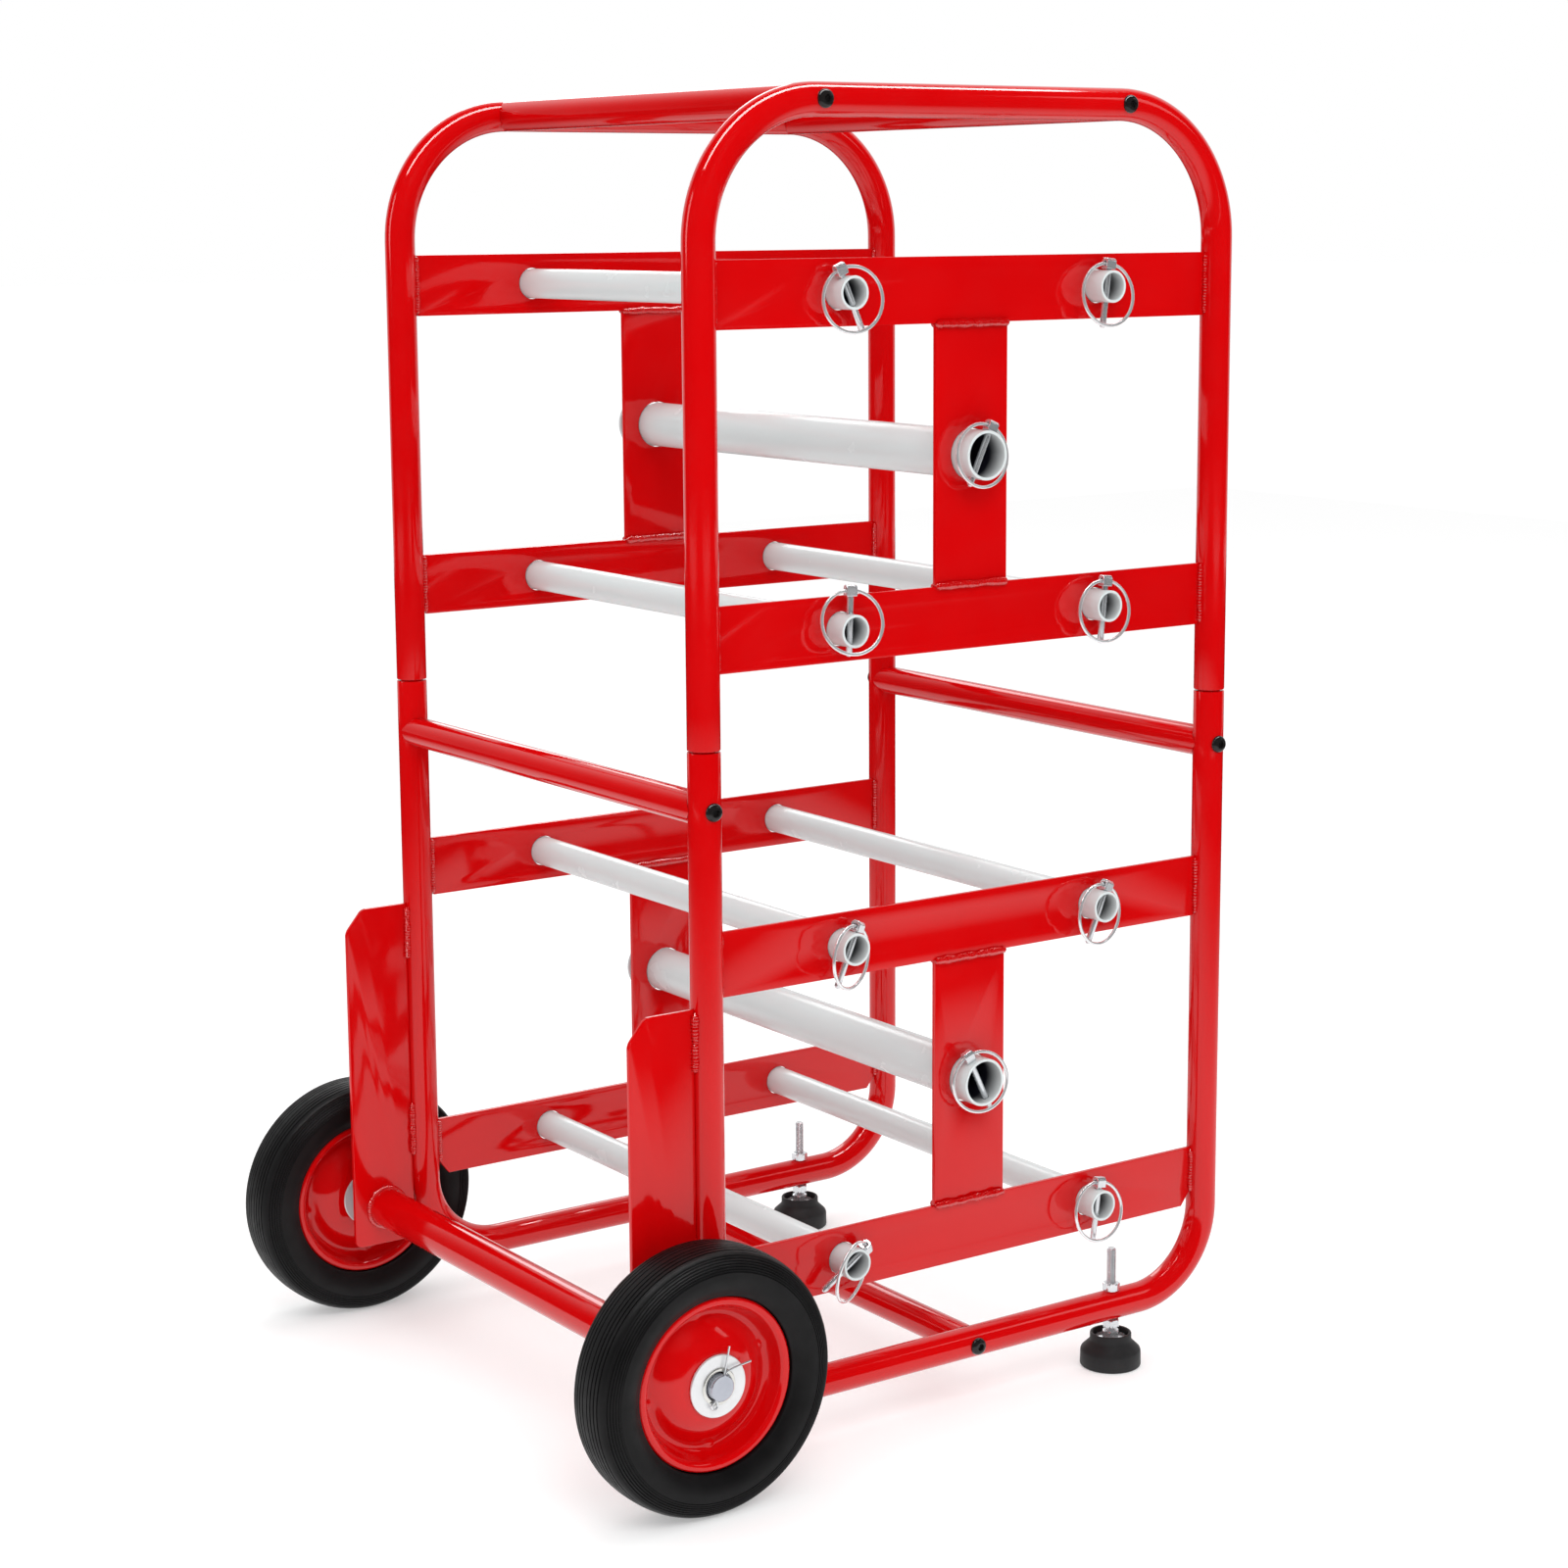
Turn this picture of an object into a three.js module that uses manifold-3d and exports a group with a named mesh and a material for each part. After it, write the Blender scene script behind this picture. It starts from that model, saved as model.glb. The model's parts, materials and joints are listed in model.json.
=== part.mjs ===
// Wheeled wire-spool rack: two hooped tube side frames joined by cross tubes,
// ten removable spindles held by ring pins, two wheels and two levelling feet.
// Millimetres, +Z up, X along the spindles, wheels at -Y, feet at +Y, floor at z = 0.
import * as THREE from 'three';
import * as BufferGeometryUtils from 'three/addons/utils/BufferGeometryUtils.js';
import Module from 'manifold-3d';

const wasm = await Module();
wasm.setup();

// ---- driving dimensions --------------------------------------------------------
const SIDE_X = 225;            // side-frame centre planes at x = +-225
const POST_Y = 248;            // post centrelines at y = +-248 about the frame centre
const FRAME_Y = 64.5;           // frame centre, placed so the whole rack is centred on y = 0
const TUBE_R = 12.5;           // 25 mm frame tube
const BORE_R = 10.5;           // 2 mm wall
const BASE_Z = 52;             // bottom tube centreline
const TOP_Z = BASE_Z + 976;    // top tube centreline
const LOW_BEND = 70;           // centreline radius of the lower bends
const TOP_BEND = 103;          // centreline radius of the arches
const SPLIT_Z = BASE_Z + 507;  // joint between lower and upper hoops
const SPLIT_GAP = 1.2;
const GAP = 0.4;               // clearance left where separate pieces meet

const RAIL_H = 50;             // flat bar, 50 x 4
const RAIL_T = 4;
const RAIL_Z = [837, 587.5, 344.5, 95].map((z) => BASE_Z + z);
const PLATE_W = 69;            // upright flat bar between each pair of rails
const RAIL_END = POST_Y - TUBE_R - GAP;

const SPINDLE_Y = 124;         // small spindles at y = +-124
const SMALL = { r: 12.5, bore: 10.5, hole: 13.3, stopR: 17 };
const BIG = { r: 19, bore: 16.8, hole: 20, stopR: 24 };
const SPINDLE_END = 244.5;      // locked end of every spindle
const STOP_X = -248;           // outer face of the welded stop disc
const STOP_T = 3;
const PIN_X = 236;             // cross-hole for the ring pin

const PIN_R = 2.5;
const PIN_LEN = 54;
const HEAD = 8.4;              // cubic pin head
const RING_R = 24.1;           // ring centreline radius
const WIRE_R = 1.35;

const AXLE_Y = -287.5;
const AXLE_Z = BASE_Z + 50;
const AXLE_R = 10;
const AXLE_END = 301.5;
const WHEEL_X = 275;           // wheel mid plane
const WHEEL_R = AXLE_Z;
const FOOT_Y = 150;
const STUD_R = 4;

// ---- materials -----------------------------------------------------------------
const material = (name, color, metalness, roughness) =>
  new THREE.MeshStandardMaterial({ name, color, metalness, roughness });
const PAINT = ['red_paint', 0xd21414, 0.0, 0.3];
const WHITE = ['white_paint', 0xe4e4e2, 0.0, 0.35];
const ZINC = ['zinc_plate', 0xc4c8cc, 0.9, 0.3];
const CHROME = ['bright_wire', 0xd8dade, 1.0, 0.2];
const RUBBER = ['tyre_rubber', 0x17171a, 0.0, 0.75];
const FOOT_RUBBER = ['foot_rubber', 0x2a2a2c, 0.0, 0.7];

// ---- helpers -------------------------------------------------------------------
const group = new THREE.Group();
group.name = 'wire_spool_rack';

function put(name, geometry, paint) {
  const g = geometry.index ? geometry.toNonIndexed() : geometry;
  g.deleteAttribute('normal');
  g.deleteAttribute('uv');
  const mesh = new THREE.Mesh(BufferGeometryUtils.mergeVertices(g, 1e-4), material(...paint));
  mesh.geometry.computeVertexNormals();
  mesh.name = name;
  group.add(mesh);
}

function toSolid(geometry) {
  const plain = new THREE.BufferGeometry();
  plain.setAttribute('position', geometry.attributes.position.clone());
  if (geometry.index) plain.setIndex(geometry.index.clone());
  const merged = BufferGeometryUtils.mergeVertices(plain, 1e-4);
  return new wasm.Manifold(new wasm.Mesh({
    numProp: 3,
    vertProperties: new Float32Array(merged.attributes.position.array),
    triVerts: new Uint32Array(merged.index.array),
  }));
}

function toGeometry(solid) {
  const mesh = solid.getMesh();
  const g = new THREE.BufferGeometry();
  g.setAttribute('position', new THREE.BufferAttribute(new Float32Array(mesh.vertProperties), 3));
  g.setIndex(new THREE.BufferAttribute(new Uint32Array(mesh.triVerts), 1));
  return g;
}

const cut = (base, ...tools) =>
  toGeometry(tools.reduce((s, t) => s.subtract(toSolid(t)), toSolid(base)));
const join = (base, ...others) =>
  toGeometry(others.reduce((s, t) => s.add(toSolid(t)), toSolid(base)));

// rod with its axis on X, Y or Z, centred on (x, y, z)
function rod(axis, radius, length, x, y, z, sides = 16) {
  const g = new THREE.CylinderGeometry(radius, radius, length, sides);
  if (axis === 'x') g.rotateZ(-Math.PI / 2);
  if (axis === 'z') g.rotateX(Math.PI / 2);
  return g.translate(x, y, z);
}

// body of revolution about X from [radius, x] pairs, centred on (0, y, z)
function turned(profile, sides, y, z) {
  const g = new THREE.LatheGeometry(profile.map(([r, x]) => new THREE.Vector2(r, x)), sides);
  return g.rotateZ(-Math.PI / 2).translate(0, y, z);
}

// body of revolution about Z from [radius, z] pairs
function turnedZ(profile, sides, x, y) {
  const g = new THREE.LatheGeometry(profile.map(([r, z]) => new THREE.Vector2(r, z)), sides);
  return g.rotateX(Math.PI / 2).translate(x, y, 0);
}

function polygonRing(outer, inner, sides) {
  const shape = new THREE.Shape();
  const hole = new THREE.Path();
  for (let i = 0; i < sides; i++) {
    const a = (2 * Math.PI * i) / sides;
    const [c, s] = [Math.cos(a), Math.sin(a)];
    if (i) { shape.lineTo(outer * c, outer * s); hole.lineTo(inner * c, -inner * s); }
    else { shape.moveTo(outer, 0); hole.moveTo(inner, 0); }
  }
  shape.closePath();
  hole.closePath();
  shape.holes.push(hole);
  return shape;
}

// path through fixed stations, so that straights take one step and bends several
class StationPath extends THREE.Curve {
  constructor(stations) { super(); this.stations = stations; }
  at(u) { return this.stations[Math.round(u * (this.stations.length - 1))]; }
  getPoint(u) { return this.at(u).p.clone(); }
  getPointAt(u) { return this.at(u).p.clone(); }
  getTangentAt(u) { return this.at(u).t.clone(); }
}

// U-shaped tube in a plane of constant x: straight legs at y = +-POST_Y, ending at legZ,
// with a cross run at runZ; dir is +1 when the run is above the legs
function hoopTube(x, legZ, runZ, bend) {
  const dir = Math.sign(runZ - legZ);
  const stations = [];
  const add = (y, z, ty, tz) =>
    stations.push({ p: new THREE.Vector3(x, FRAME_Y + y, z), t: new THREE.Vector3(0, ty, tz) });
  const steps = 5;
  const corner = runZ - dir * bend;
  add(-POST_Y, legZ, 0, dir);
  for (let i = 0; i <= steps; i++) {
    const a = (Math.PI / 2) * (i / steps);
    add(-POST_Y + bend - bend * Math.cos(a), corner + dir * bend * Math.sin(a),
      Math.sin(a), dir * Math.cos(a));
  }
  for (let i = 0; i <= steps; i++) {
    const a = (Math.PI / 2) * (1 - i / steps);
    add(POST_Y - bend + bend * Math.cos(a), corner + dir * bend * Math.sin(a),
      Math.sin(a), -dir * Math.cos(a));
  }
  add(POST_Y, legZ, 0, -dir);
  return new THREE.ExtrudeGeometry(polygonRing(TUBE_R, BORE_R, 12), {
    steps: stations.length - 1, extrudePath: new StationPath(stations), bevelEnabled: false,
  });
}

// flat plate in a plane of constant x from a [y, z] outline; holes are [y, z, radius]
function sheet(outline, holes, x, thickness) {
  const shape = new THREE.Shape(outline.map(([y, z]) => new THREE.Vector2(y, z)));
  for (const [y, z, r] of holes) {
    const hole = new THREE.Path();
    for (let i = 0; i <= 12; i++) {
      const a = (-2 * Math.PI * i) / 12;
      const [py, pz] = [y + r * Math.cos(a), z + r * Math.sin(a)];
      if (i) hole.lineTo(py, pz); else hole.moveTo(py, pz);
    }
    shape.holes.push(hole);
  }
  const g = new THREE.ExtrudeGeometry(shape, { depth: thickness, bevelEnabled: false });
  g.applyMatrix4(new THREE.Matrix4().makeBasis(
    new THREE.Vector3(0, 1, 0), new THREE.Vector3(0, 0, 1), new THREE.Vector3(1, 0, 0)));
  return g.translate(x, FRAME_Y, 0);
}

const SIDES = [['left', -1], ['right', 1]];

// ---- side frames ---------------------------------------------------------------
for (const [side, s] of SIDES) {
  const x = s * SIDE_X;
  put(`upper_hoop_${side}`, hoopTube(x, SPLIT_Z + SPLIT_GAP, TOP_Z, TOP_BEND), PAINT);

  const spigots = [-1, 1].map((e) => turnedZ([
    [8, SPLIT_Z - 25], [11.2, SPLIT_Z - 25], [11.2, SPLIT_Z - 0.4], [9.7, SPLIT_Z - 0.4],
    [9.7, SPLIT_Z + 28], [8, SPLIT_Z + 28], [8, SPLIT_Z - 25],
  ], 12, x, FRAME_Y + e * POST_Y));
  const lower = toSolid(hoopTube(x, SPLIT_Z, BASE_Z, LOW_BEND));
  const stud = rod('z', STUD_R + 0.6, 60, x, FRAME_Y + FOOT_Y, BASE_Z);
  put(`lower_hoop_${side}`, toGeometry(lower.add(toSolid(spigots[0])).add(toSolid(spigots[1]))
    .subtract(toSolid(stud))), PAINT);
}

// ---- rail frames: two pierced rails joined by an upright flat bar ---------------
function railFrame(top, bottom, chamfer) {
  const [e, h, w] = [RAIL_END, RAIL_H / 2, PLATE_W / 2];
  const outline = [
    [-e, top + h], [-e, top - h], [-w, top - h], [-w, bottom + h], [-e, bottom + h],
    [-e, bottom - h + 1.3 * chamfer], [-e + chamfer, bottom - h],
    [e - chamfer, bottom - h], [e, bottom - h + 1.3 * chamfer],
    [e, bottom + h], [w, bottom + h], [w, top - h], [e, top - h], [e, top + h],
  ];
  const holes = [];
  for (const z of [top, bottom]) {
    for (const y of [-SPINDLE_Y, SPINDLE_Y]) holes.push([y, z, SMALL.hole]);
  }
  holes.push([0, (top + bottom) / 2, BIG.hole]);
  return [outline, holes];
}

for (const [side, s] of SIDES) {
  const x = s > 0 ? SIDE_X - RAIL_T : -SIDE_X;
  put(`rail_frame_upper_${side}`, sheet(...railFrame(RAIL_Z[0], RAIL_Z[1], 2), x, RAIL_T), PAINT);
  put(`rail_frame_lower_${side}`, sheet(...railFrame(RAIL_Z[2], RAIL_Z[3], 9), x, RAIL_T), PAINT);
}

// ---- cross tubes, coped onto the side frames -------------------------------------
function crossTube(y, z, saddleAxis, slack = GAP) {
  const half = SIDE_X - 6;
  const tube = new THREE.ExtrudeGeometry(polygonRing(TUBE_R, BORE_R, 12), {
    depth: 2 * half, bevelEnabled: false,
  });
  tube.rotateY(Math.PI / 2).translate(-half, FRAME_Y + y, z);
  const saddles = [-1, 1].map((s) =>
    rod(saddleAxis, TUBE_R + slack, 60, s * SIDE_X, FRAME_Y + y, z, 16));
  return cut(tube, ...saddles);
}

for (const [end, e] of [['rear', -1], ['front', 1]]) {
  put(`cross_tube_top_${end}`, crossTube(e * (POST_Y - TOP_BEND), TOP_Z, 'y', 1.1), PAINT);
  put(`cross_tube_mid_${end}`, crossTube(e * POST_Y, BASE_Z + 463.5, 'z'), PAINT);
}
put('cross_tube_bottom', crossTube(0, BASE_Z, 'y'), PAINT);

// ---- wheel carrier ---------------------------------------------------------------
const PLATE_T = 4;
const plateOutline = [
  [-POST_Y - TUBE_R - GAP, 315], [-300, 315], [-303, 313.5], [-315.5, 299], [-317.5, 294],
  [-317.5, 24], [-316, 19.5], [-312, 18], [-POST_Y - TUBE_R - GAP, 18],
].map(([y, z]) => [y, BASE_Z + z]);
for (const [side, s] of SIDES) {
  put(`wheel_plate_${side}`, sheet(plateOutline, [[AXLE_Y, AXLE_Z, AXLE_R + 0.7]],
    s * SIDE_X - PLATE_T / 2, PLATE_T), PAINT);
}
const AXLE_TUBE = SIDE_X - PLATE_T / 2 - GAP;
put('axle_tube', turned([
  [11, -AXLE_TUBE], [16.5, -AXLE_TUBE], [16.5, AXLE_TUBE], [11, AXLE_TUBE], [11, -AXLE_TUBE],
], 16, FRAME_Y + AXLE_Y, AXLE_Z), PAINT);

// axle rod with a spacer sleeve inboard of each hub and a cross-hole for each cotter
const HUB = 18;                                // hub half length
const SLEEVE = [SIDE_X + PLATE_T / 2 + GAP, WHEEL_X - HUB - GAP];
const COTTER_X = AXLE_END - 3.4;
const axleSide = [
  [AXLE_R, SLEEVE[0]], [14, SLEEVE[0]], [14, SLEEVE[1]], [AXLE_R, SLEEVE[1]],
  [AXLE_R, AXLE_END - 1.5], [AXLE_R - 1.5, AXLE_END],
];
const axle = turned([
  [0, -AXLE_END], ...axleSide.map(([r, x]) => [r, -x]).reverse(), ...axleSide, [0, AXLE_END],
], 16, FRAME_Y + AXLE_Y, AXLE_Z);
const COTTER_TILT = THREE.MathUtils.degToRad(-22);
const inCotter = (g, s) => g.rotateX(COTTER_TILT).translate(s * COTTER_X, FRAME_Y + AXLE_Y, AXLE_Z);
put('axle', cut(axle, ...SIDES.map(([, s]) => inCotter(rod('z', 2.1, 40, 0, 0, 0, 8), s))), ZINC);

for (const [side, s] of SIDES) {
  // split cotter: shank through the axle, eye below, two spread legs above
  const eye = new THREE.TorusGeometry(2.6, 1.1, 6, 10).rotateY(Math.PI / 2).translate(0, 0, -14.4);
  const shank = rod('z', 1.5, 25, 0, 0, 0.4, 8);
  const legs = [[19.5, 0.17], [23.5, -0.86]].map(([length, spread]) =>
    rod('z', 0.9, length, 0, 0, length / 2 - 0.3, 6).rotateX(spread).translate(0, 0, 11.4));
  const cotter = join(shank, eye, ...legs);
  put(`cotter_${side}`, inCotter(cotter, s), ZINC);

  const washer = turned([
    [10.7, -1.1], [24, -1.1], [24, 1.1], [10.7, 1.1], [10.7, -1.1],
  ], 20, FRAME_Y + AXLE_Y, AXLE_Z);
  put(`axle_washer_${side}`, washer.translate(s * (WHEEL_X + HUB + GAP + 1.1), 0, 0), ZINC);
}

// ---- wheels: pressed rim with a dished web, solid tyre -----------------------------
const rimHalf = [
  [10.8, 18], [24.5, 17.6], [31, 16.2], [38, 12.2], [44, 7], [48, 4.2], [53, 4.2], [56.5, 9],
  [59, 15], [62.5, 17.6], [66.4, 16.8], [66.4, 13.6], [60, 13.6],
];
const tyreHalf = [
  [60.5, 13], [67.2, 13], [67.2, 19], [73, 23], [85, 25.8], [96, 23],
  [100.6, 17.5], [WHEEL_R, 10],
];
const bothSides = (half) => {
  const loop = [...half, ...half.map(([r, x]) => [r, -x]).reverse()];
  return [...loop, loop[0]];
};
for (const [side, s] of SIDES) {
  const place = (g) => g.translate(s * WHEEL_X, 0, 0);
  put(`rim_${side}`, place(turned(bothSides(rimHalf).reverse(), 20, FRAME_Y + AXLE_Y, AXLE_Z)), PAINT);
  put(`tyre_${side}`, place(turned(bothSides(tyreHalf).reverse(), 24, FRAME_Y + AXLE_Y, AXLE_Z)),
    RUBBER);
}

// ---- levelling feet ----------------------------------------------------------------
for (const [side, s] of SIDES) {
  const [x, y] = [s * SIDE_X, FRAME_Y + FOOT_Y];
  put(`foot_${side}`, turnedZ([
    [0, 0], [23.7, 0], [25.3, 1.5], [25, 13.5], [24, 15.5], [18.5, 20.5], [17.2, 22.5], [17.2, 28],
    [16.6, 28.5], [14.8, 28.5], [14.8, 22.5], [0, 22.5],
  ], 16, x, y), FOOT_RUBBER);
  const rodStud = turnedZ([
    [0, 22.9], [13, 22.9], [13, 24.5], [STUD_R, 24.5], [STUD_R, 100.2], [STUD_R - 0.8, 101],
    [0, 101],
  ], 12, x, y);
  const nut = rod('z', 7.5, 6, x, y, 27.3, 6);
  put(`foot_stud_${side}`, join(rodStud, nut), ZINC);
}

// ---- spindles with their ring pins ---------------------------------------------------
// [name, y, z, size, pin tilt about X, pin turn about its own axis, ring lean, pin lift]
const midZ = (a, b) => (RAIL_Z[a] + RAIL_Z[b]) / 2;
const SPINDLES = [
  ['row1_rear', -SPINDLE_Y, RAIL_Z[0], SMALL, 24, -8, 8, 1.5],
  ['row1_front', SPINDLE_Y, RAIL_Z[0], SMALL, -7, -4, 7, 0.5],
  ['mid_upper', 0, midZ(0, 1), BIG, -25, -2, 5.5, 0],
  ['row2_rear', -SPINDLE_Y, RAIL_Z[1], SMALL, -2, -16, 14, 13],
  ['row2_front', SPINDLE_Y, RAIL_Z[1], SMALL, -5.5, -4, 5.5, 2.5],
  ['row3_rear', -SPINDLE_Y, RAIL_Z[2], SMALL, -23.5, 20, 8, 0],
  ['row3_front', SPINDLE_Y, RAIL_Z[2], SMALL, -23, 7, 5.5, 0],
  ['mid_lower', 0, midZ(2, 3), BIG, 26, -7, 7, 0],
  ['row4_rear', -SPINDLE_Y, RAIL_Z[3], SMALL, -57, 24, 16, 0],
  ['row4_front', SPINDLE_Y, RAIL_Z[3], SMALL, -7.5, -1, 8, 1],
];
for (const [name, y, z, size, tiltDeg, turnDeg, leanDeg, lift] of SPINDLES) {
  const tilt = THREE.MathUtils.degToRad(tiltDeg);
  const place = (g) => g.rotateX(tilt).translate(0, FRAME_Y + y, z);
  const stopIn = STOP_X + STOP_T;
  const tube = turned([
    [size.bore, STOP_X], [size.stopR, STOP_X], [size.stopR, stopIn], [size.r, stopIn],
    [size.r, SPINDLE_END], [size.bore, SPINDLE_END], [size.bore, STOP_X],
  ], 12, 0, 0);
  const crossHole = rod('z', PIN_R + 0.5, 60, PIN_X, 0, 0, 8);
  put(`spindle_${name}`, place(cut(tube, crossHole)), WHITE);

  // the pin hangs from a cubic head that rests on the spindle; the ring hinges in the head
  const headZ = size.r + GAP + HEAD / 2 + lift;
  const turn = THREE.MathUtils.degToRad(turnDeg);
  const onPin = (g) => place(g.rotateZ(turn).translate(PIN_X, 0, headZ));
  const c = HEAD / 2;
  const block = new THREE.Shape([
    [-c, -c], [c, -c], [c, c - 2], [c - 2, c], [2 - c, c], [-c, c - 2],
  ].map(([u, v]) => new THREE.Vector2(u, v)));
  const head = new THREE.ExtrudeGeometry(block, { depth: HEAD, bevelEnabled: false })
    .rotateX(Math.PI / 2).translate(0, HEAD / 2, 0);
  const tip = HEAD / 2 - PIN_LEN;
  const shank = turnedZ([[0, tip], [1.6, tip], [PIN_R, tip + 1.2], [PIN_R, 0], [0, 0]], 8, 0, 0);
  const bore = rod('y', WIRE_R + 0.9, 30, 0, 0, 0, 8);
  put(`pin_${name}`, onPin(toGeometry(toSolid(head).add(toSolid(shank)).subtract(toSolid(bore)))),
    ZINC);

  const ring = new THREE.TorusGeometry(RING_R, WIRE_R, 5, 20)
    .rotateY(Math.PI / 2).rotateX(Math.PI / 20).translate(0, 0, -RING_R)
    .rotateY(-THREE.MathUtils.degToRad(leanDeg));
  put(`ring_${name}`, onPin(ring), CHROME);
}

export default group;
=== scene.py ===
"""Looks of the wheeled wire-spool rack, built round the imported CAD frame. Metres, +Z up.

X runs along the spindles, the wheels are at -Y, the levelling feet at +Y, the floor is z = 0.
"""
import json
import math
import random

import bmesh
import bpy
from mathutils import Matrix, Vector, noise


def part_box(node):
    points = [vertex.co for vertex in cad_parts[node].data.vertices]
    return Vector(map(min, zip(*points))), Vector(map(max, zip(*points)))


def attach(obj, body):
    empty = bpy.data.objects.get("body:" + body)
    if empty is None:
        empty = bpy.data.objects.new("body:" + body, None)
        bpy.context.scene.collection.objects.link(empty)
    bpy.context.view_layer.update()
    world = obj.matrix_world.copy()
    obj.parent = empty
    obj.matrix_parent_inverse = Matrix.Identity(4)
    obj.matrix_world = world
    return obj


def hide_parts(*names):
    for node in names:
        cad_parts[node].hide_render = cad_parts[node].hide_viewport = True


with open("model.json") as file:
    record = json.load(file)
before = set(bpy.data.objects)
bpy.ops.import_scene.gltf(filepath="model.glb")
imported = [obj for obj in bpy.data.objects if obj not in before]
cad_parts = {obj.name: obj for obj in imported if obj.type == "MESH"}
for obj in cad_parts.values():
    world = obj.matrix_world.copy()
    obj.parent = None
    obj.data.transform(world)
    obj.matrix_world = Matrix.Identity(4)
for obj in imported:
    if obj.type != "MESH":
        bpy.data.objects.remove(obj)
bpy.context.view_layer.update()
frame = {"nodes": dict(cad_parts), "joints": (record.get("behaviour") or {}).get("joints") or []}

MM = 0.001
TAU = 2 * math.pi

# ---- the CAD's own dimensions, in metres ------------------------------------------------
SIDE_X = 225 * MM              # side-frame centre planes
POST_Y = 248 * MM              # post centrelines, from the frame's middle
FRAME_Y = (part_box("cross_tube_bottom")[0].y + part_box("cross_tube_bottom")[1].y) / 2
TUBE_R = 12.5 * MM
BORE_R = 10.5 * MM
BASE_Z = (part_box("cross_tube_bottom")[0].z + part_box("cross_tube_bottom")[1].z) / 2
TOP_Z = BASE_Z + 976 * MM
LOW_BEND = 70 * MM
TOP_BEND = 103 * MM
SPLIT_Z = BASE_Z + 507 * MM
SPLIT_GAP = 1.2 * MM
MID_Z = BASE_Z + 463.5 * MM    # middle cross tubes
RAIL_H = 50 * MM
RAIL_T = 4 * MM
RAIL_Z = [BASE_Z + z * MM for z in (837, 587.5, 344.5, 95)]
RAIL_END = POST_Y - TUBE_R - 0.1 * MM
PLATE_W = 69 * MM
SPINDLE_Y = 124 * MM
# spindles: tube radius, bore, hole in the bar, stop disc
SMALL = dict(r=12.5 * MM, bore=10.5 * MM, hole=13.1 * MM, stop=17 * MM)
BIG = dict(r=19 * MM, bore=16.8 * MM, hole=19.8 * MM, stop=24 * MM)
SPINDLE_END = 244.5 * MM       # the pinned end
STOP_X = -248 * MM             # outer face of the stop disc
PIN_R = 2.5 * MM
PIN_LEN = 54 * MM
HEAD = 8.4 * MM                # pin head, across its flats
RING_R = 24.1 * MM             # to the middle of the wire
WIRE_R = 1.35 * MM
AXLE_Y = FRAME_Y - 287.5 * MM
AXLE_Z = BASE_Z + 50 * MM
AXLE_R = 10 * MM
AXLE_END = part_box("axle")[1].x
WHEEL_X = 275 * MM             # mid plane of a wheel
HUB = 18 * MM                  # half a hub's length
FOOT_Y = FRAME_Y + 150 * MM

JOINTS = {j["name"]: j for j in frame["joints"]}


# ---- materials ----------------------------------------------------------------------------
def shader(name, base, rough, metallic=0.0, **sockets):
    """A Principled material and its node tree."""
    m = bpy.data.materials.new(name)
    m.use_nodes = True
    b = m.node_tree.nodes["Principled BSDF"]
    b.inputs["Base Color"].default_value = (*base, 1)
    b.inputs["Roughness"].default_value = rough
    b.inputs["Metallic"].default_value = metallic
    for key, value in sockets.items():
        b.inputs[key.replace("_", " ")].default_value = value
    return m, m.node_tree, b


def noise_tex(tree, scale, detail=3.0, rough=0.5):
    """3-D noise in object coordinates, scale in features per metre."""
    coord = tree.nodes.new("ShaderNodeTexCoord")
    tex = tree.nodes.new("ShaderNodeTexNoise")
    tex.inputs["Scale"].default_value = scale
    tex.inputs["Detail"].default_value = detail
    tex.inputs["Roughness"].default_value = rough
    tree.links.new(coord.outputs["Object"], tex.inputs["Vector"])
    return tex


def ramp_to(tree, tex, socket, low, high, start=0.3, end=0.7):
    """Drives a socket from a noise between two values or two colours."""
    if isinstance(low, (int, float)):
        node = tree.nodes.new("ShaderNodeMapRange")
        node.inputs["From Min"].default_value = start
        node.inputs["From Max"].default_value = end
        node.inputs["To Min"].default_value = low
        node.inputs["To Max"].default_value = high
        tree.links.new(tex.outputs["Fac"], node.inputs["Value"])
        tree.links.new(node.outputs["Result"], socket)
        return
    node = tree.nodes.new("ShaderNodeValToRGB")
    node.color_ramp.elements[0].position, node.color_ramp.elements[1].position = start, end
    node.color_ramp.elements[0].color = (*low, 1)
    node.color_ramp.elements[1].color = (*high, 1)
    tree.links.new(tex.outputs["Fac"], node.inputs["Fac"])
    tree.links.new(node.outputs["Color"], socket)


def bump(tree, b, layers):
    """Chains bump layers of (noise, strength, distance in metres) into the normal."""
    last = None
    for tex, strength, distance in layers:
        node = tree.nodes.new("ShaderNodeBump")
        node.inputs["Strength"].default_value = strength
        node.inputs["Distance"].default_value = distance
        tree.links.new(tex.outputs["Fac"], node.inputs["Height"])
        if last:
            tree.links.new(last.outputs["Normal"], node.inputs["Normal"])
        last = node
    tree.links.new(last.outputs["Normal"], b.inputs["Normal"])


def gloss_paint(name, low, high, rough_low, rough_high, peel=0.12, **sockets):
    """Sprayed enamel: slight colour drift, uneven gloss and fine orange peel."""
    m, tree, b = shader(name, high, rough_low, **sockets)
    ramp_to(tree, noise_tex(tree, 7.0, 4), b.inputs["Base Color"], low, high)
    ramp_to(tree, noise_tex(tree, 35.0, 4), b.inputs["Roughness"], rough_low, rough_high)
    bump(tree, b, [(noise_tex(tree, 650.0, 2), peel, 0.00008),
                   (noise_tex(tree, 150.0, 1), peel, 0.0001)])
    return m


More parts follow.
